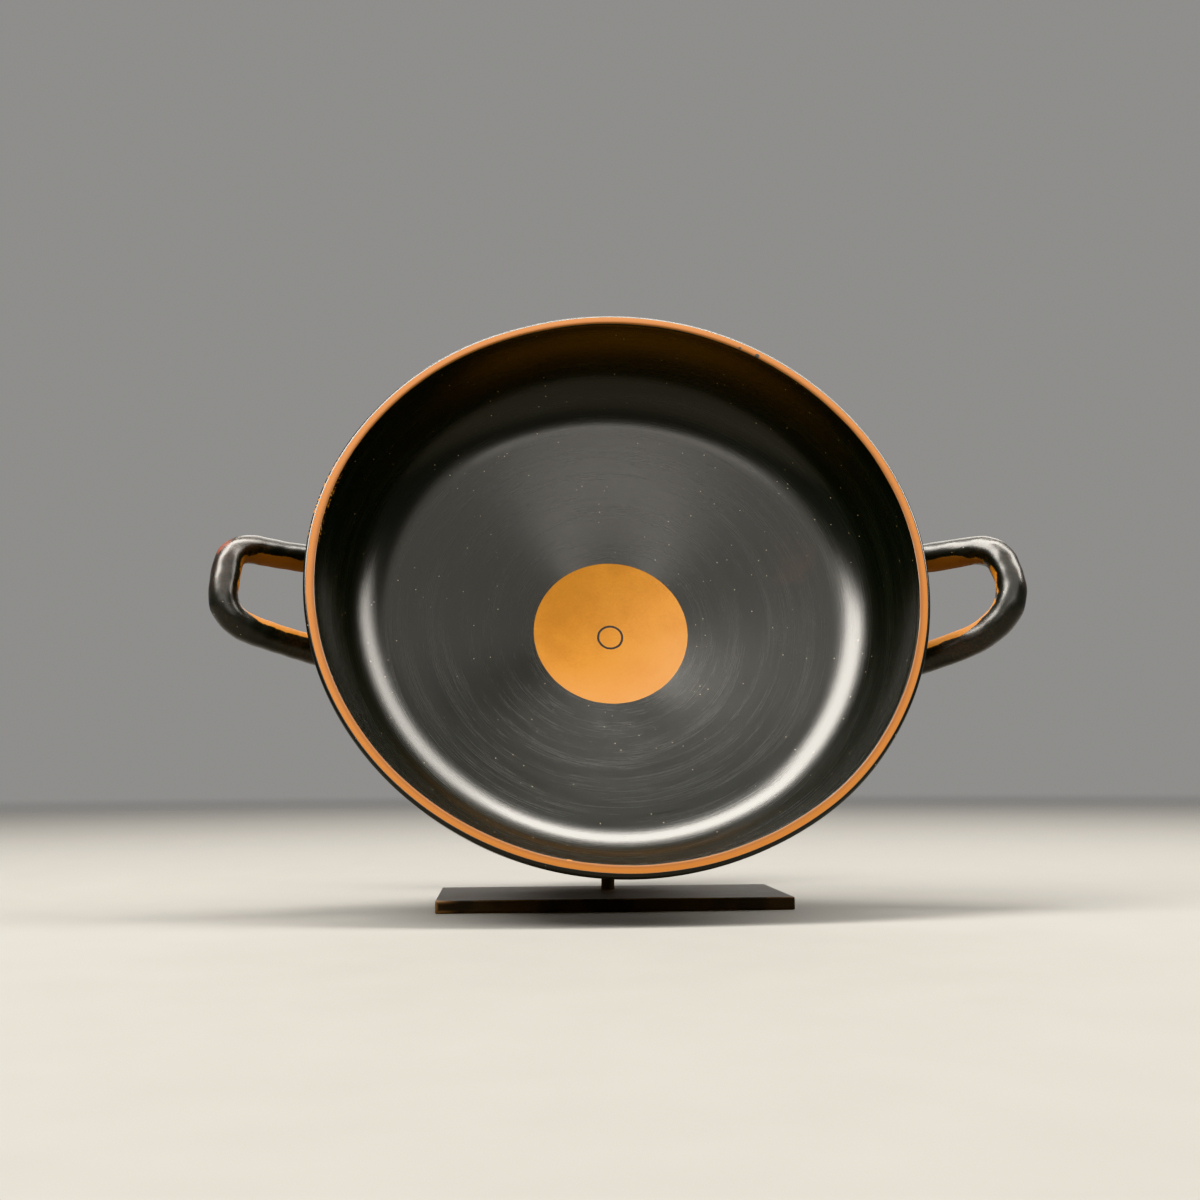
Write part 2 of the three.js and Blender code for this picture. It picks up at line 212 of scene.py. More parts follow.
def foot_hollow():
    """The shape that is cut out of the foot: a bell that narrows to a bore up the stem."""
    mouth = np.array([FOOT_RADIUS - FOOT_EDGE - FOOT_RING, -CUP_HEIGHT])
    bend = np.array([STEM_BORE, FOOT_HOLLOW_RISE - CUP_HEIGHT])
    bore = np.array([STEM_BORE, STEM_BORE_FOOT])
    bell = [(1 - t) ** 2 * mouth + 2 * t * (1 - t) * bend + t * t * bore
            for t in np.linspace(0, 1, BELL_POINTS)]
    low = -CUP_HEIGHT - CUTTER_MARGIN
    return refine([(0, low), (mouth[0], low), *bell, (0, STEM_BORE_TOP)], FINE)


print("stem in mm:", round(2 * stem_radius(neck_centre[1]) / MM, 1), "thick under the bowl and",
      round(2 * stem_radius(instep_centre[1]) / MM, 1), "above the foot")

# %% [markdown]
# Turning a profile means copying it round the axis and joining neighbours with four-sided faces. Where
# the profile meets the axis a single point closes the surface with a fan of triangles.

# %% Turning
def make_object(name, vertices, faces):
    mesh = bpy.data.meshes.new(name)
    mesh.from_pydata([tuple(v) for v in vertices], [], faces)
    mesh.update()
    obj = bpy.data.objects.new(name, mesh)
    bpy.context.scene.collection.objects.link(obj)
    return obj


def turned(name, profile):
    """A closed surface; the profile starts and ends on the axis."""
    inner = profile[1:-1]
    angles = np.arange(AROUND) * 2 * math.pi / AROUND
    vertices = [(0, 0, profile[0][1])]
    vertices += [(r * math.cos(a), r * math.sin(a), z) for r, z in inner for a in angles]
    vertices.append((0, 0, profile[-1][1]))
    faces = [(0, 1 + (j + 1) % AROUND, 1 + j) for j in range(AROUND)]
    for i in range(len(inner) - 1):
        low, high = 1 + i * AROUND, 1 + (i + 1) * AROUND
        for j in range(AROUND):
            k = (j + 1) % AROUND
            faces.append((low + j, low + k, high + k, high + j))
    last = 1 + (len(inner) - 1) * AROUND
    faces += [(last + j, last + (j + 1) % AROUND, len(vertices) - 1) for j in range(AROUND)]
    return make_object(name, vertices, faces)


# %% [markdown]
# Handles and rods are swept: a ring of points is set square to the line at each of its points, and
# neighbouring rings are joined. Each ring needs one direction across the line to start from, or the rod
# would twist on its way.

# %% Sweeping
def swept(name, line, radii, sides, across):
    """A closed rod along a line. across gives, for each point, the section's first direction."""
    line = np.asarray(line)
    tangents = np.gradient(line, axis=0)
    tangents /= np.linalg.norm(tangents, axis=1)[:, None]
    across = across - (across * tangents).sum(1)[:, None] * tangents
    across /= np.linalg.norm(across, axis=1)[:, None]
    beside = np.cross(tangents, across)
    turn = np.arange(sides) * 2 * math.pi / sides
    rings = (line[:, None] + radii[:, None, None] * (np.cos(turn)[None, :, None] * across[:, None]
                                                     + np.sin(turn)[None, :, None] * beside[:, None]))
    vertices = rings.reshape(-1, 3)
    faces = []
    for i in range(len(line) - 1):
        for j in range(sides):
            k = (j + 1) % sides
            faces.append((i * sides + j, i * sides + k, (i + 1) * sides + k, (i + 1) * sides + j))
    faces.append(tuple(range(sides - 1, -1, -1)))
    faces.append(tuple((len(line) - 1) * sides + j for j in range(sides)))
    return make_object(name, vertices, faces)


# %% [markdown]
# Blender's Boolean modifier joins closed surfaces or cuts one with another. Its exact solver is slower
# than the fast one, and more dependable where surfaces cross at a shallow angle, as a handle and a wall
# do. A cut can leave points almost on top of each other, so the result is welded and its edges are
# counted: on a closed surface every edge has just two faces.

# %% Joining and cleaning
WELD, SHORTEST_EDGE = 0.004 * MM, 0.002 * MM
SHARP_ANGLE = 42


def combine(base, tool, how):
    """Joins or cuts two closed surfaces and removes the tool."""
    modifier = base.modifiers.new(how.lower(), "BOOLEAN")
    modifier.operation = how
    modifier.object = tool
    modifier.solver = "EXACT"
    graph = bpy.context.evaluated_depsgraph_get()
    mesh = bpy.data.meshes.new_from_object(base.evaluated_get(graph))
    base.modifiers.clear()
    old = base.data
    base.data = mesh
    bpy.data.meshes.remove(old)
    bpy.data.objects.remove(tool)


def clean(obj):
    """Welds doubled points, turns every face outwards and reports what is left."""
    work = bmesh.new()
    work.from_mesh(obj.data)
    bmesh.ops.remove_doubles(work, verts=work.verts, dist=WELD)
    bmesh.ops.dissolve_degenerate(work, edges=work.edges, dist=SHORTEST_EDGE)
    bmesh.ops.triangulate(work, faces=[f for f in work.faces if len(f.verts) > 4])
    bmesh.ops.recalc_face_normals(work, faces=work.faces)
    loose = [v for v in work.verts if not v.link_faces]
    bmesh.ops.delete(work, geom=loose, context="VERTS")
    bad = sum(not e.is_manifold for e in work.edges)
    work.to_mesh(obj.data)
    work.free()
    obj.data.shade_smooth()
    obj.data.set_sharp_from_angle(angle=math.radians(SHARP_ANGLE))
    triangles = sum(len(p.vertices) - 2 for p in obj.data.polygons)
    print(obj.name, "triangles:", triangles, "open or doubled edges:", bad)


# %% [markdown]
# Each handle is a rolled strip of clay, bent to a loop with two soft corners and pressed against the
# bowl, where the clay is smeared thicker. Made by hand, the two differ a little. The middle line is drawn
# in plan, looking along the cup's axis, and its height follows a gentle upward curve.

# %% The handles' lines
HANDLES = {
    -1: {"rod": 5.1, "root_high": 19.6, "corner_high": (132.8, 14.3), "corner_low": (134.0, -14.1),
         "root_low": -20.1, "bend_high": 9.2, "bend_low": 10.6},
    1: {"rod": 5.4, "root_high": 20.8, "corner_high": (134.1, 14.6), "corner_low": (139.5, -15.6),
        "root_low": -26.4, "bend_high": 8.3, "bend_low": 19.7},
}
ROOT_AT = 85
ARM_HEIGHT, ARM_RISE, ARM_UPSWEEP = -27.5, 0.438, 0.0075
ROOT_FLARE, FLARE_LENGTH = 0.35, 11
WAVINESS, WAVE_RATE = 0.012, 0.31
HANDLE_SIDES = 28


def corner(before, at, after, bend, steps=18):
    """The points in plan that round a corner, from its bend length before it to as far behind it."""
    start = at + (before - at) / np.linalg.norm(before - at) * bend
    end = at + (after - at) / np.linalg.norm(after - at) * bend
    return [(1 - t) ** 2 * start + 2 * t * (1 - t) * at + t * t * end for t in np.linspace(0, 1, steps)]


def handle_line(side, shape, spacing=1.0):
    """The handle's middle line, evenly spaced, and how far along it each point is."""
    high, low = np.array(shape["corner_high"]), np.array(shape["corner_low"])
    root_high, root_low = np.array([ROOT_AT, shape["root_high"]]), np.array([ROOT_AT, shape["root_low"]])
    plan = np.array([root_high, *corner(root_high, high, low, shape["bend_high"]),
                     *corner(high, low, root_low, shape["bend_low"]), root_low])
    walked = np.concatenate([[0], np.cumsum(np.linalg.norm(np.diff(plan, axis=0), axis=1))])
    even = np.linspace(0, walked[-1], int(walked[-1] / spacing))
    x, y = np.interp(even, walked, plan[:, 0]), np.interp(even, walked, plan[:, 1])
    out = x - LIP_RADIUS / MM
    z = ARM_HEIGHT + ARM_RISE * out + ARM_UPSWEEP * out ** 2
    return np.stack([side * x, y, z], 1) * MM, even * MM


def handle(side):
    """One loop of clay, flared at its roots; also gives the line and radii it was made from."""
    shape = HANDLES[side]
    line, walked = handle_line(side, shape)
    from_root = np.minimum(walked, walked[-1] - walked) / MM
    uneven = 1 - WAVINESS * (1 + np.sin(walked / MM * WAVE_RATE + side))
    radii = shape["rod"] * MM * (uneven + ROOT_FLARE * np.exp(-(from_root / FLARE_LENGTH) ** 2))
    tangents = np.gradient(line, axis=0)
    loop = swept(f"handle_{side}", line, radii, HANDLE_SIDES, np.cross(tangents, [0, 0, 1.0]))
    print("handle", side, "is", round(walked[-1] / MM), "mm long")
    return loop, (line, radii)


# %% [markdown]
# The parts are put together in the potter's order: the turned body first, then the handles. The two
# hollows are cut last, so that nothing of a handle's root is left standing inside the bowl.

# %% Building the cup
cup = turned("kylix_cup", outside_profile())
handle_lines = {}
for side in HANDLES:
    loop, handle_lines[side] = handle(side)
    combine(cup, loop, "UNION")
combine(cup, turned("bowl_hollow", bowl_hollow()), "DIFFERENCE")
combine(cup, turned("foot_hollow", foot_hollow()), "DIFFERENCE")
clean(cup)

# %% [markdown]
# No hand-thrown rim is a perfect circle. A few broad swells and flats, each given as an angle, a width
# and a height, push the wall in and out by about half a millimetre. They grow towards the lip and die
# away along the handles. The paint follows the clay, so every point also remembers where it was on the
# true round cup.

# %% Hand-made unevenness
SWELLS = ((67, 18, 0.42), (108, 12, -0.42), (162, 14, 0.3), (350, 22, -0.5), (312, 10, 0.3))
SHRINK = 0.12
STEADY_FROM, FADE_LENGTH = 125 * MM, 18 * MM

count = len(cup.data.vertices)
as_thrown = np.zeros(count * 3)
cup.data.vertices.foreach_get("co", as_thrown)
as_thrown = as_thrown.reshape(-1, 3)
radius = np.hypot(as_thrown[:, 0], as_thrown[:, 1])
angle = np.degrees(np.arctan2(as_thrown[:, 1], as_thrown[:, 0]))
swell = np.full(count, -SHRINK)
for centre, width, rise in SWELLS:
    away = (angle - centre + 180) % 360 - 180
    swell += rise * np.exp(-(away / width) ** 2)
share = np.clip(radius / LIP_RADIUS, 0, 1) ** 2 * np.clip((STEADY_FROM - radius) / FADE_LENGTH, 0, 1)
moved = as_thrown.copy()
moved[:, :2] += as_thrown[:, :2] / np.maximum(radius, MM)[:, None] * (swell * share * MM)[:, None]
cup.data.vertices.foreach_set("co", moved.ravel())

thrown_layer = cup.data.attributes.new("as_thrown", "FLOAT_VECTOR", "POINT")
thrown_layer.data.foreach_set("vector", as_thrown.ravel())
print("points on the cup:", count, "moved in mm by", round(float((swell * share).min()), 2), "to",
      round(float((swell * share).max()), 2))

# %% [markdown]
# The painter left the side of each handle that looks into the loop bare. So each point on a handle gets a
# number: 1 where it faces squarely into the loop, 0 along the top and the bottom, and -1 on the outside.
# The number is kept at the corners of the faces, not at the points, so that it ends sharply where a
# handle meets the wall. Everywhere else it is -2.

# %% Which way the handles face
ON_HANDLE, OFF_HANDLE = 0.2 * MM, -2.0
NEAREST_X, NEAREST_RADIUS = 80 * MM, 84 * MM

facing_in = np.zeros(count)
is_handle = np.zeros(count, bool)
for side, (line, radii) in handle_lines.items():
    loop_middle = line.mean(0)
    near_handle = (as_thrown[:, 0] * side > NEAREST_X) & (radius > NEAREST_RADIUS)
    for index in np.nonzero(near_handle)[0]:
        point = as_thrown[index]
        distances = np.linalg.norm(line - point, axis=1)
        closest = int(distances.argmin())
        if abs(distances[closest] - radii[closest]) > ON_HANDLE:
            continue
        ahead = line[min(closest + 1, len(line) - 1)] - line[max(closest - 1, 0)]
        outwards = np.cross(ahead, [0, 0, 1.0])
        outwards *= math.copysign(1, outwards @ (line[closest] - loop_middle)) / np.linalg.norm(outwards)
        facing_in[index] = -(point - line[closest]) @ outwards / distances[closest]
        is_handle[index] = True

corner_values = np.full(len(cup.data.loops), OFF_HANDLE)
for face in cup.data.polygons:
    points = list(face.vertices)
    if is_handle[points].all():
        corner_values[face.loop_start:face.loop_start + face.loop_total] = facing_in[points]
facing_layer = cup.data.attributes.new("facing_in", "FLOAT", "CORNER")
facing_layer.data.foreach_set("value", corner_values)
print("points on the handles:", int(is_handle.sum()))

# %% [markdown]
# A rolled strip that fingers have bent is never smooth. Three crossing waves of different lengths press
# shallow dents into the handles, always inwards, so that the loops never grow past their size.

# %% Dents in the handles
DENT = 0.3 * MM
DENT_WAVES = (((410, 530, 250), 0.0), ((-690, 380, 610), 1.7), ((330, -870, 420), 0.6))
DENTS_FROM, DENTS_FADE_IN = 100 * MM, 10 * MM

normals = np.zeros(count * 3)
cup.data.vertices.foreach_get("normal", normals)
waves = sum(np.sin(as_thrown @ way + start) for way, start in DENT_WAVES) / len(DENT_WAVES)
free_of_wall = np.clip((radius - DENTS_FROM) / DENTS_FADE_IN, 0, 1) * is_handle
dent_depth = (0.5 + 0.5 * waves) * free_of_wall * DENT
moved -= normals.reshape(-1, 3) * dent_depth[:, None]
cup.data.vertices.foreach_set("co", moved.ravel())
cup.data.update()
print("deepest dent in mm:", round(float(dent_depth.max()) / MM, 2))

# %% [markdown]
# The cup lies with its mouth towards the viewer, its axis a little above level. Its place is found from
# the solid's own box: the top of the lip touches the box's top, the lip's lowest point its front, and the
# right handle its right side.

# %% The cup in its cradle
MOUTH_RISE = 19.3
low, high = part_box("kylix")
rise = math.radians(MOUTH_RISE)
ring, drop = LIP_RADIUS - LIP_ROUNDING, LIP_ROUNDING
handle_reach = as_thrown[:, 0].max()
lip_centre = Vector((
    high.x - handle_reach,
    low.y + ring * math.sin(rise) - drop * math.cos(rise) + drop,
    high.z - ring * math.cos(rise) + drop * math.sin(rise) - drop,
))
cup_pose = Matrix.Translation(lip_centre) @ Matrix.Rotation(math.radians(90 - MOUTH_RISE), 4, "X")
cup.data.transform(cup_pose)
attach(cup, "root")
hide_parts("kylix")
print("middle of the lip in mm:", [round(c / MM, 2) for c in lip_centre])

# %% [markdown]
# The plate is a plain slab of bronze with its edges just taken off, so a bevel on a box is all it needs.
# A shallow socket would only show if the post were lifted out, so the plate here is whole.

# %% The base plate
EASED, EASED_STEPS = 0.55 * MM, 4

plate_low, plate_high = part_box("base_plate")
plate_size = plate_high - plate_low
plate_middle = (plate_low + plate_high) / 2
plate = make_object("stand_plate", *[
    [Vector((sx, sy, sz)) * 0.5 for sx in (-1, 1) for sy in (-1, 1) for sz in (-1, 1)],
    [(0, 1, 3, 2), (4, 6, 7, 5), (0, 4, 5, 1), (2, 3, 7, 6), (0, 2, 6, 4), (1, 5, 7, 3)],
])
plate.data.transform(Matrix.Diagonal((*plate_size, 1)))
edge = plate.modifiers.new("eased edges", "BEVEL")
edge.width = EASED
edge.segments = EASED_STEPS
plate.location = plate_middle
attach(plate, "root")
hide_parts("base_plate")
clean(plate)
print("plate in mm:", [round(s / MM, 1) for s in plate_size])

# %% [markdown]
# The cradle is bent from round rod: an upright post, a spine that slopes with the cup, a saddle under the
# bowl and an open yoke round the stem. Rods are swept along their lines and joined into one piece, as
# brazing would.

# %% The post and its cradle
TOUCH = 0.3 * MM
ROD = 2 * MM
POST_RADIUS = 2.4 * MM
POST_AT = Vector((0, 12 * MM))
SADDLE_AT, SADDLE_HALF = 60 * MM, 40
YOKE_HEIGHT, YOKE_HALF, YOKE_STEPS = -80 * MM, 110, 16
POST_SINK = 0.05 * MM
POST_SIDES, ROD_SIDES = 32, 20
ROD_POINTS = 12
MOSTLY_ALONG = 0.7


def hoop(radius, height, half_angle, steps=48):
    """Part of a circle round the cup's axis; the half angle is in degrees from its lowest point."""
    angles = np.radians(np.linspace(-half_angle, half_angle, steps))
    return [cup_pose @ Vector((radius * math.sin(a), -radius * math.cos(a), height)) for a in angles]


def rod_piece(name, points, radius, sides=ROD_SIDES):
    """A rod whose section starts along the cup's axis, or sideways where the rod itself runs that way."""
    line = np.array([tuple(p) for p in points])
    across = np.tile(cup_pose.to_3x3() @ Vector((0, 0, 1)), (len(line), 1))
    run = line[-1] - line[0]
    if abs(across[0] @ run) > MOSTLY_ALONG * np.linalg.norm(run):
        across[:] = (1, 0, 0)
    return swept(name, line, np.full(len(line), radius), sides, across)


clear = TOUCH + ROD
under = outward(FLOOR_SLOPE) * clear
saddle_radius, saddle_height = SADDLE_AT + under[0], underside(SADDLE_AT) + under[1]
yoke_radius = (stem_radius(YOKE_HEIGHT) + clear) / math.cos(math.radians(YOKE_HALF / YOKE_STEPS))
saddle_foot = hoop(saddle_radius, saddle_height, 0, 1)[0]
yoke_foot = hoop(yoke_radius, YOKE_HEIGHT, 0, 1)[0]
along = (POST_AT.y - saddle_foot.y) / (yoke_foot.y - saddle_foot.y)
post_top = saddle_foot.z + along * (yoke_foot.z - saddle_foot.z)
post_foot = plate_high.z - POST_SINK
post_line = [Vector((POST_AT.x, POST_AT.y, z)) for z in np.linspace(post_foot, post_top, ROD_POINTS)]
cradle = rod_piece("stand_cradle", post_line, POST_RADIUS, POST_SIDES)
spine = [saddle_foot.lerp(yoke_foot, t) for t in np.linspace(0, 1, ROD_POINTS)]
combine(cradle, rod_piece("spine", spine, ROD), "UNION")
combine(cradle, rod_piece("saddle", hoop(saddle_radius, saddle_height, SADDLE_HALF), ROD), "UNION")
combine(cradle, rod_piece("yoke", hoop(yoke_radius, YOKE_HEIGHT, YOKE_HALF), ROD), "UNION")
clean(cradle)
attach(cradle, "root")
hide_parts("cradle_post")
print("post in mm:", round((post_top - post_foot) / MM, 1), "high and",
      round(2 * POST_RADIUS / MM, 1), "thick")

# %% [markdown]
# Finishes are worked out from formulas, so nothing is painted on a picture. In Blender each formula is a
# small net of nodes. Writing them as sums is easier to read: the class below wraps one output of a node,
# and `a * 2 + b` adds the Math nodes. One method, `node`, adds any other kind.

# %% Writing shaders as sums
class Wire:
    """One value or colour on its way between two nodes."""

    def __init__(self, finish, socket):
        self.finish, self.socket = finish, socket

    def math(self, operation, *others):
        return self.finish.math(operation, self, *others)

    def __add__(self, other):
        return self.math("ADD", other)

    def __mul__(self, other):
        return self.math("MULTIPLY", other)

    def __sub__(self, other):
        return self.math("SUBTRACT", other)

    def __truediv__(self, other):
        return self.math("DIVIDE", other)

    def __rsub__(self, other):
        return self.finish.math("SUBTRACT", other, self)

    def __rtruediv__(self, other):
        return self.finish.math("DIVIDE", other, self)

    __radd__ = __add__
    __rmul__ = __mul__

    def ramp(self, start, end):
        """0 below start and 1 above end, with a soft change between."""
        return self.finish.node("ShaderNodeMapRange", {"interpolation_type": "SMOOTHSTEP"},
                                {"Value": self, "From Min": start, "From Max": end})

    def edge(self, at, softness):
        """0 below a value and 1 above it, softened by this much on each side."""
        return self.ramp(at - softness, at + softness)

    def twin(self, output):
        """Another output of the same node."""
        return Wire(self.finish, self.socket.node.outputs[output])


class Finish:
    """A material that is built node by node."""

    def __init__(self, name):
        self.material = bpy.data.materials.new(name)
        self.material.use_nodes = True
        self.nodes = self.material.node_tree.nodes
        self.links = self.material.node_tree.links
        self.shader = self.nodes["Principled BSDF"]

    def node(self, kind, settings=None, sockets=None, output=0):
        made = self.nodes.new(kind)
        for key, value in (settings or {}).items():
            setattr(made, key, value)
        for key, value in (sockets or {}).items():
            self.plug(made.inputs[key], value)
        return Wire(self, made.outputs[output])

    def math(self, operation, *values):
        return self.node("ShaderNodeMath", {"operation": operation}, dict(enumerate(values)))

    def plug(self, socket, value):
        if isinstance(value, Wire):
            self.links.new(value.socket, socket)
        else:
            socket.default_value = value

    def mix(self, first, second, share):
        """A colour between two colours; sockets 0, 6 and 7 of a Mix node are its factor and colours."""
        colours = {6: self.colour(first), 7: self.colour(second), 0: share}
        return self.node("ShaderNodeMix", {"data_type": "RGBA"}, colours, output=2)

    def colour(self, value):
        return value if isinstance(value, Wire) else (*value, 1.0)

    def noise(self, vector, scale, detail=4.0, roughness=0.55):
        return self.node("ShaderNodeTexNoise", {"normalize": True},
                         {"Vector": vector, "Scale": scale, "Detail": detail, "Roughness": roughness})

    def vector(self, x, y, z):
        return self.node("ShaderNodeCombineXYZ", None, {0: x, 1: y, 2: z})

    def parts(self, vector):
        split = self.node("ShaderNodeSeparateXYZ", None, {0: vector})
        return [split.twin(k) for k in range(3)]

    def parts_in_mm(self, vector):
        return [part * (1 / MM) for part in self.parts(vector)]

    def place(self):
        """Where a point is on its own piece."""
        return self.node("ShaderNodeTexCoord", output="Object")

    def bump(self, height, depth, strength):
        return self.node("ShaderNodeBump", None, {"Height": height, "Distance": depth, "Strength": strength})

    def finish(self, obj, constants=None, **varying):
        for key, value in (constants or {}).items():
            self.shader.inputs[key].default_value = value
        for key, value in varying.items():
            self.plug(self.shader.inputs[key.replace("_", " ")], value)
        obj.data.materials.clear()
        obj.data.materials.append(self.material)
        print(self.material.name, "uses", len(self.nodes), "nodes")


# %% [markdown]
# Everything painted on the cup is found from where a point was while the cup was still truly round. Its
# distance from the axis and its height are enough for rings; the sine and cosine of its angle are used
# in place of the angle, because an angle jumps from 360 degrees to 0 and would leave a seam.

# %% Where things are on the cup
clay = Finish("black gloss over orange clay")
thrown = clay.node("ShaderNodeAttribute", {"attribute_name": "as_thrown"}, output="Vector")
facing = clay.node("ShaderNodeAttribute", {"attribute_name": "facing_in"}, output="Fac")
x, y, z = clay.parts_in_mm(thrown)
in_mm = clay.vector(x, y, z)
r = (x * x + y * y).math("SQRT")
off_axis = r.math("MAXIMUM", 1.0)
cosine, sine = x / off_axis, y / off_axis
along_profile = r + z
print("clay nodes so far:", len(clay.nodes))

# %% [markdown]
# The black is not a glaze but a very fine slip of the same clay, brushed on while the cup turned on the
# wheel, so its streaks run in circles. They come from noise that changes fast from the axis outwards and
# slowly round it. Two more noises, the same in every direction, stand for the fire and for the clay.

# %% Streaks, cloud and grain
broad_streaks = clay.noise(clay.vector(cosine * 1.3, sine * 1.3, along_profile * 0.16), 1.0, 5.0, 0.6)
fine_streaks = clay.noise(clay.vector(cosine * 3.2, sine * 3.2, along_profile * 1.5), 1.0, 6.0, 0.65)
brush_lines = clay.noise(clay.vector(cosine * 1.1, sine * 1.1, along_profile * 3.4), 1.0, 3.0, 0.7)
cloud = clay.noise(in_mm, 0.035, 4.0)
grain = clay.noise(in_mm, 1.1, 5.0, 0.6)
waver = clay.noise(clay.vector(cosine * 6, sine * 6, 0.0), 1.0, 3.0) - 0.5
print("clay nodes so far:", len(clay.nodes))

# %% [markdown]
# Three places keep the bare orange clay: a disc in the middle of the floor, with one thin dark circle in
# it, a band along the top of the lip, and the sides of the handles that look into the loop. Each is a
# mask: 1 where the clay is bare and 0 where it is painted. The wavering noise moves the brush's edge a
# little in and out. The disc's mask is cut off half-way through the wall, or it would also show beneath.

# %% The bare disc and the bare band, in mm
DISC_RADIUS, CIRCLE_RADIUS, CIRCLE_HALF_WIDTH = 28.5, 4.5, 0.4
BAND_INNER, BAND_OUTER, LIP_FROM = 102.5, 105.0, -1.5

floor_height = r * r * (0.5 * MM / DISH_RADIUS) - BOWL_DEPTH / MM
inside_bowl = (z - floor_height).edge(-WALL / MM / 2, 0.2)
disc = (1 - (r + waver * 0.25).edge(DISC_RADIUS, 0.12)) * inside_bowl
circle_offset = (r + (cloud - 0.5) * 1.2 + waver * 0.3 - CIRCLE_RADIUS).math("ABSOLUTE")
circle = (1 - circle_offset.edge(CIRCLE_HALF_WIDTH, 0.08)) * disc
on_lip = z.edge(LIP_FROM, 0.2)
band_start, band_end = (r + waver * 0.5).edge(BAND_INNER, 0.15), (r + waver * 0.2).edge(BAND_OUTER, 0.1)
band = band_start * (1 - band_end) * on_lip
print("clay nodes so far:", len(clay.nodes))

# %% [markdown]
# On the handles the bare strip is narrow along the outer run, where the brush came far round, and wide on
# the lower arms. So the number that says how squarely a point faces inwards is lowered or raised there
# before it is cut off.

# %% The bare sides of the handles, in mm
OUTER_RUN, LOWER_ARM = (118.0, 129.0), (-15.0, -5.0)
BARE_FROM, BARE_TO = 0.62, 0.67

handle_edge = clay.noise(in_mm, 0.16, 3.0) - 0.5
outer_run = x.math("ABSOLUTE").ramp(*OUTER_RUN)
lower_arm = (1 - y.ramp(*LOWER_ARM)) * (1 - outer_run)
inner_face = facing + handle_edge * 0.45 + (grain - 0.5) * 0.1 - outer_run * 0.33 + lower_arm * 0.34
inner_face = inner_face.ramp(BARE_FROM, BARE_TO)
on_handle = facing.edge((OFF_HANDLE - 1) / 2, 0.1)
print("clay nodes so far:", len(clay.nodes))

# %% [markdown]
# An old cup has stray marks: small chips in the lip, drops of slip on the bare band, a handle's corner
# worn red, one patch fired redder and one dull. Nearly all are ragged spots: the distance to a place on
# the cup, made uneven by noise and cut off at a size. Only the crumbs on the left of the lip are grains
# of the noise itself, let through along one stretch.

# %% Stray marks, each as a place and a size in mm
WORN_CORNER = ((-137.0, 13.5, -8.5), 5.6)
LIP_CHIP = ((-19.3, -101.0, 0.0), 1.1)
CRUMBLED_X, CRUMBLED_Y = (-101.0, -93.0), (8.0, 16.0)
SLIP_DROPS = (((53.1, 88.3, 0.0), 1.0), ((46.9, 91.6, 0.0), 0.7))
RED_PATCH, DULL_PATCH = ((66.8, 23.6, -37.9), 11.0), ((68.1, -4.8, -38.7), 9.0)
VERY_RAGGED = 0.9


def spot(at, size, ragged=0.35):
    """A ragged spot round a point on the cup."""
    offset = clay.node("ShaderNodeVectorMath", {"operation": "DISTANCE"}, {0: in_mm, 1: at}, output="Value")
    return 1 - (offset + (grain - 0.5) * size * 2 * ragged + (cloud - 0.5) * size).ramp(size * 0.8, size)


worn_corner = spot(*WORN_CORNER, VERY_RAGGED) * (1 - inner_face)
lip_chips = (1 - x.ramp(*CRUMBLED_X)) * y.ramp(*CRUMBLED_Y) * on_lip * grain.ramp(0.56, 0.6)
lip_chips = lip_chips.math("MAXIMUM", spot(*LIP_CHIP))
slip_drops = spot(*SLIP_DROPS[0]).math("MAXIMUM", spot(*SLIP_DROPS[1]))
bare = disc.math("MAXIMUM", band).math("MAXIMUM", inner_face)
bare = bare.math("MAXIMUM", lip_chips) * (1 - circle) * (1 - slip_drops)
patchy = cloud.ramp(0.35, 0.65)
print("clay nodes so far:", len(clay.nodes))

# %% [markdown]
# The black is darkest where the slip is thick and greyer where the brush left it thin. Handling has
# rubbed a little clay colour through it on the handles. A scatter of tiny pale specks is grit that came
# through: each is the middle of one cell of a cell pattern, with about half of the cells switched off.

# %% The black slip
BLACK, THIN_BLACK, RED_BLACK = (0.0046, 0.0056, 0.0052), (0.0180, 0.0205, 0.0190), (0.03, 0.015, 0.010)
RUBBED_CLAY, GRIT = (0.075, 0.030, 0.014), (0.55, 0.48, 0.36)
SPECK_CELLS = {"Vector": in_mm, "Scale": 0.34, "Randomness": 1.0}

thin = (broad_streaks * 0.45 + fine_streaks * 0.2 + brush_lines * 0.4).ramp(0.46, 0.78)
black = clay.mix(BLACK, THIN_BLACK, thin * 0.8)
rubbed_handle = on_handle * (grain * 0.55 + cloud * 0.5).ramp(0.52, 0.62)
black = clay.mix(black, RUBBED_CLAY, rubbed_handle * 0.22)
black = clay.mix(black, RED_BLACK, spot(*RED_PATCH, VERY_RAGGED) * patchy * 0.35)
speck_distance = clay.node("ShaderNodeTexVoronoi", {"feature": "F1"}, SPECK_CELLS, output="Distance")
chosen = clay.parts(speck_distance.twin("Color"))[0].ramp(0.5, 0.52)
specks = (1 - speck_distance.ramp(0.03, 0.075)) * chosen
black = clay.mix(black, GRIT, specks * 0.8)
print("clay nodes so far:", len(clay.nodes))

# %% [markdown]
# The fire coloured the bare clay unevenly. The band on the lip and the inner faces of the handles are mixed
# towards a darker orange, and the lip's inner edge and the undersides of the handles' upper arms towards
# brown. On the handles, whose inner faces look into the loop and whose upper arms hang over it, and along
# the lip's inner edge, where the rounded lip turns away from the light, this darkening is painted shade.
# Each step mixes the colour so far with a darker one, by a mask.

# %% The orange clay, with painted shade on the handles and the lip's inner edge
ORANGE, DEEP_ORANGE, CLAY_IN_PAINTED_SHADE = (0.57, 0.240, 0.030), (0.31, 0.100, 0.009), (0.085, 0.026, 0.006)
LIP_EDGE, UPPER_ARM = (102.6, 104.2), (0.0, 8.0)

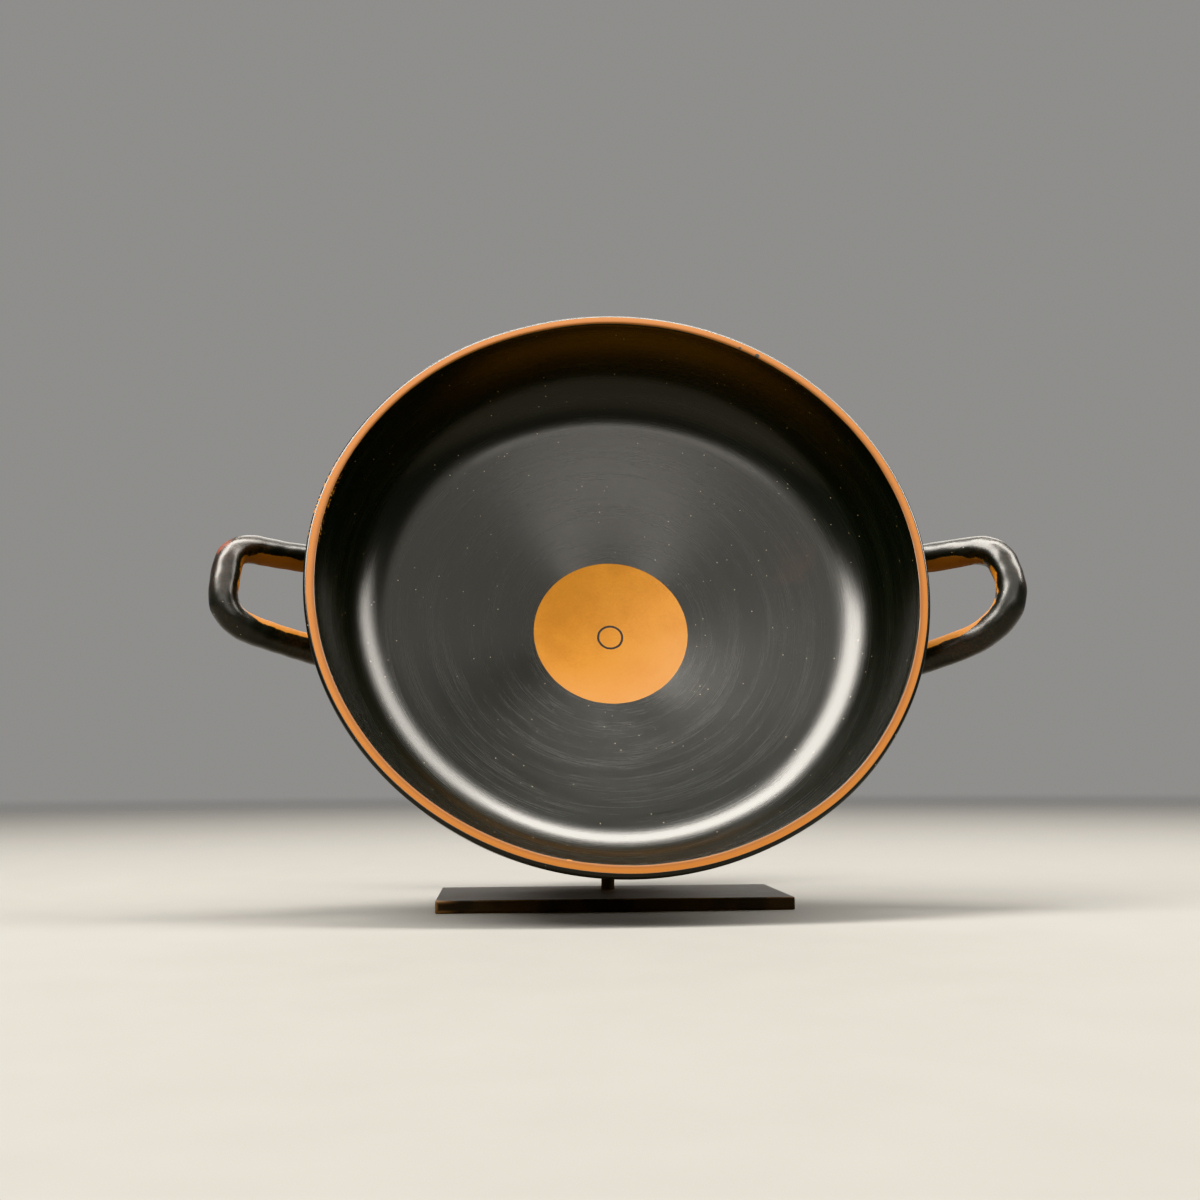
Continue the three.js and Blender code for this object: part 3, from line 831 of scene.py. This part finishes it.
uneven_firing = (cloud * 0.45 + grain * 0.45 + fine_streaks * 0.1).ramp(0.36, 0.66)
orange = clay.mix(ORANGE, DEEP_ORANGE, uneven_firing * 0.3)
mottle = clay.noise(in_mm, 0.07, 5.0, 0.6).ramp(0.42, 0.68)
lip_tone = band * (0.7 + brush_lines * 0.3)
# Darker orange on the band, on the handles' inner faces and in mottles on the disc; on the inner faces it is
# painted shade.
deeper_tone_and_shade = (lip_tone + inner_face * 0.6).math("MAXIMUM", disc * mottle * 0.2)
orange = clay.mix(orange, DEEP_ORANGE, deeper_tone_and_shade)
# Painted shade: the inner faces of the upper arms, which are their undersides and hang over the loop, are
# mixed towards brown.
painted_shade_under_arm = inner_face * y.ramp(*UPPER_ARM) * (0.8 + mottle * 0.18)
# Painted shade: the band is browned, most at its inner edge, where the rounded lip turns away from the
# light.
painted_shade_lip_edge = band * (0.2 + (1 - r.ramp(*LIP_EDGE)) * 0.45)
orange = clay.mix(orange, CLAY_IN_PAINTED_SHADE, painted_shade_under_arm.math("MAXIMUM", painted_shade_lip_edge))
print("clay nodes so far:", len(clay.nodes))

# %% [markdown]
# Now slip and clay are laid side by side by the mask, and given their shine. Fired slip is glossy, with a
# thin clear coat here for its deep gloss, and bare clay is dull. Brush lines and grain are a bump: they
# are far too fine for the mesh, and they change no outline.

# %% Colour, shine and relief of the cup
DARK_LINE, WORN_RED = (0.005, 0.005, 0.007), (0.15, 0.026, 0.007)
RELIEF_DEPTH, RELIEF_STRENGTH = 0.05 * MM, 0.6

surface = clay.mix(black, orange, bare)
surface = clay.mix(surface, DARK_LINE, circle)
surface = clay.mix(surface, WORN_RED, worn_corner * 0.85)
dull = spot(*DULL_PATCH, VERY_RAGGED) * patchy
shine = 0.14 + brush_lines * 0.1 + fine_streaks * 0.06 + broad_streaks * 0.08 + dull * 0.05
shine = shine + bare * 0.36 + band * 0.12 + worn_corner * 0.25 + on_handle * grain * 0.16
relief = fine_streaks * 0.35 + brush_lines * 0.35 + grain * (0.3 + on_handle * 1.1) - bare * 0.25
clay.finish(cup, {"Specular IOR Level": 0.5, "Coat Roughness": 0.2},
            Base_Color=surface, Roughness=shine, Coat_Weight=(1 - bare) * 0.2,
            Normal=clay.bump(relief, RELIEF_DEPTH, RELIEF_STRENGTH))

# %% [markdown]
# The stand is bronze, stained dark brown. Plate and rods share one finish: two stain colours in soft
# patches, and fine brushing that is stretched along the piece. Only the places where the stain is rubbed
# off differ, so those come in as a function.

# %% Bronze
STAIN, STAIN_LIGHT, RUBBED = (0.011, 0.0085, 0.007), (0.026, 0.018, 0.013), (0.27, 0.165, 0.10)
BRUSHED_DEPTH, BRUSHED_STRENGTH = 0.04 * MM, 0.5


def bronze(name, obj, brushing, wear):
    """Stained metal. brushing scales the noise along each axis; wear says where the stain is off."""
    metal = Finish(name)
    place = metal.parts_in_mm(metal.place())
    patches = metal.noise(metal.vector(*place), 0.09, 5.0)
    brushed = metal.noise(metal.vector(*(p * k for p, k in zip(place, brushing))), 1.0, 5.0, 0.6)
    rubbed = wear(place, patches)
    colour = metal.mix(STAIN, STAIN_LIGHT, patches.ramp(0.4, 0.65))
    colour = metal.mix(colour, RUBBED, rubbed)
    metal.finish(obj, {"Specular IOR Level": 0.5}, Base_Color=colour, Metallic=0.35 + rubbed * 0.5,
                 Roughness=0.42 + patches * 0.16 + brushed * 0.12 - rubbed * 0.12,
                 Normal=metal.bump(brushed * 0.6 + patches * 0.4, BRUSHED_DEPTH, BRUSHED_STRENGTH))


# %% [markdown]
# Handling rubs the stain off wherever two faces meet, so the plate's edges are warmer and brighter. For a
# box they are easy to find: a point is on an edge when it is close to two faces at once.

# %% Wear of the plate and of the rods
CORNER_REACH = 9.0
ALONG_PLATE, ALONG_POST = (0.05, 1.6, 1.6), (1.4, 1.4, 0.08)


def plate_wear(place, patches):
    """Rubbed in patches along every edge, and most at the front left corner."""
    half = [s / MM / 2 for s in plate_size]
    gaps = [h - p.math("ABSOLUTE") for h, p in zip(half, place)]
    pairs = [gaps[a].math("MAXIMUM", gaps[b]) for a, b in ((0, 1), (0, 2), (1, 2))]
    nearest = pairs[0].math("MINIMUM", pairs[1]).math("MINIMUM", pairs[2])
    from_left, from_front = place[0] + half[0], place[1] + half[1]
    corner_wear = (1 - from_left.ramp(0.0, CORNER_REACH)) * (1 - from_front.ramp(0.0, CORNER_REACH))
    worn = (1 - (nearest + (patches - 0.5) * 0.9).ramp(0.05, 0.45)) * patches.ramp(0.4, 0.62)
    return worn.math("MAXIMUM", corner_wear * (1 - nearest.ramp(0.3, 1.4)) * 0.9) * 0.8


def rod_wear(_, patches):
    """Rubbed a little in patches, wherever they fall."""
    return patches.ramp(0.62, 0.75) * 0.2


bronze("plate bronze", plate, ALONG_PLATE, plate_wear)
bronze("rod bronze", cradle, ALONG_POST, rod_wear)

# %% [markdown]
# The floor is a round sheet of pale paper that fades into the even light of the room, so no edge shows
# from any side. Making it see-through towards its rim is cheaper to render than a curved wall all round.

# %% The floor
FLOOR_RADIUS, FLOOR_SIDES, FLOOR_GAP = 3.0, 96, 0.02 * MM
FADE_START, FADE_END = 0.35, 2.9
PAPER, PAPER_FIBRES = (0.20, 0.197, 0.190), (0.22, 0.217, 0.209)

around = [2 * math.pi * k / FLOOR_SIDES for k in range(FLOOR_SIDES)]
floor_points = [(0, 0, 0)] + [(FLOOR_RADIUS * math.cos(t), FLOOR_RADIUS * math.sin(t), 0) for t in around]
floor_faces = [(0, 1 + k, 1 + (k + 1) % FLOOR_SIDES) for k in range(FLOOR_SIDES)]
floor = make_object("paper_floor", floor_points, floor_faces)
floor.location.z = plate_low.z - FLOOR_GAP

paper = Finish("pale paper")
on_paper = paper.place()
fibres = paper.noise(on_paper, 40.0, 3.0)
paper_x, paper_y, _ = paper.parts(on_paper)
from_middle = (paper_x * paper_x + paper_y * paper_y).math("SQRT")
paper.finish(floor, {"Specular IOR Level": 0.25}, Base_Color=paper.mix(PAPER, PAPER_FIBRES, fibres),
             Roughness=0.8 + fibres * 0.1, Alpha=1 - from_middle.ramp(FADE_START, FADE_END))

# %% [markdown]
# The room itself gives an even, soft light from all round. It fills the shadows, and it is what the gloss
# mirrors wherever there is no panel.

# %% The room
ROOM_COLOUR, ROOM_STRENGTH = (0.74, 0.73, 0.71, 1), 0.42

room = bpy.data.worlds.new("soft room")
bpy.context.scene.world = room
room.use_nodes = True
room_light = room.node_tree.nodes["Background"].inputs
room_light["Color"].default_value = ROOM_COLOUR
room_light["Strength"].default_value = ROOM_STRENGTH
print("room strength:", ROOM_STRENGTH)

# %% [markdown]
# A glossy bowl is a round mirror: each place in it shows one piece of the studio. So the panels are
# given as the cup sees them, by how far round from the viewer they stand, how high, how far off, how
# large and how bright. A broad key high on the left, one overhead and a weaker one on the right draw
# the bright ring round the knee of the bowl. A wide dim panel in front lifts the black of the floor, and
# a low strip under it gives the soft gleam at the top of the ring. One behind lights the cup's back.

# %% The light panels
PANEL_COLOUR = (1.0, 0.95, 0.87)
PANELS = (  # name, turn and lift in degrees, distance, width and height in metres, brightness
    ("key panel", -65, 53, 1.2, 0.5, 0.85, 20),
    ("top panel", 0, 89.5, 1.2, 0.8, 0.27, 30),
    ("right panel", 85, 50, 1.2, 0.45, 0.95, 13),
    ("front panel", 0, 35, 1.7, 2.8, 1.5, 1.5),
    ("low front strip", 0, 18, 1.7, 1.5, 0.14, 5.0),
    ("back panel", 170, 40, 1.5, 1.4, 0.9, 3.0),
)
middle = (cad_low + cad_high) / 2


def panel(name, turn, lift, distance, width, height, brightness):
    """A flat panel that faces the middle of the object and isn't seen itself."""
    light = bpy.data.lights.new(name, "AREA")
    light.shape = "RECTANGLE"
    light.size, light.size_y, light.color = width, height, PANEL_COLOUR
    light.energy = brightness * math.pi * width * height
    lamp = bpy.data.objects.new(name, light)
    bpy.context.scene.collection.objects.link(lamp)
    turn, lift = math.radians(turn), math.radians(lift)
    way = Vector((math.sin(turn) * math.cos(lift), -math.cos(turn) * math.cos(lift), math.sin(lift)))
    lamp.location = middle + way * distance
    lamp.rotation_euler = (-way).to_track_quat("-Z", "Y").to_euler()
    lamp.visible_camera = False
    print(name, "watts:", round(light.energy, 1))


for settings in PANELS:
    panel(*settings)

# %% [markdown]
# A view transform turns the light in the scene into the colours of a picture. The one Blender starts with
# washes a bright orange towards pink. This one leaves the clay as strong in colour as it is.

# %% Colours of the picture
picture = bpy.context.scene.view_settings
picture.view_transform = "Khronos PBR Neutral"
print("view transform:", picture.view_transform)

# %% [markdown]
# The camera stands half a metre in front, low down and a few centimetres to the left, and looks slightly
# up and to the right. A camera looks along its own -Z with Y up, so its matrix is filled column by column.

# %% The camera
EYE = Vector((-37.9, -509.8, 46.3)) * MM
TURN, LOOK_UP, LEAN = math.radians(3.90), math.radians(7.08), math.radians(0.31)
SENSOR_WIDTH, FOCAL_LENGTH = 36, 42

level = Vector((math.sin(TURN), math.cos(TURN), 0))
side_way = Vector((math.cos(TURN), -math.sin(TURN), 0))
forward = level * math.cos(LOOK_UP) + Vector((0, 0, math.sin(LOOK_UP)))
down = level * math.sin(LOOK_UP) - Vector((0, 0, math.cos(LOOK_UP)))
right = math.cos(LEAN) * side_way + math.sin(LEAN) * down
below = -math.sin(LEAN) * side_way + math.cos(LEAN) * down
lens = bpy.data.cameras.new("camera")
lens.sensor_width, lens.lens = SENSOR_WIDTH, FOCAL_LENGTH
camera = bpy.data.objects.new("camera", lens)
bpy.context.scene.collection.objects.link(camera)
turn_matrix = Matrix((right, -below, -forward)).transposed()
camera.matrix_world = Matrix.Translation(EYE) @ turn_matrix.to_4x4()
bpy.context.scene.camera = camera
print("camera looks along:", [round(part, 2) for part in forward])

# %% [markdown]
# Last, the view layer is updated, so that every piece stands where it was put.

bpy.context.view_layer.update()
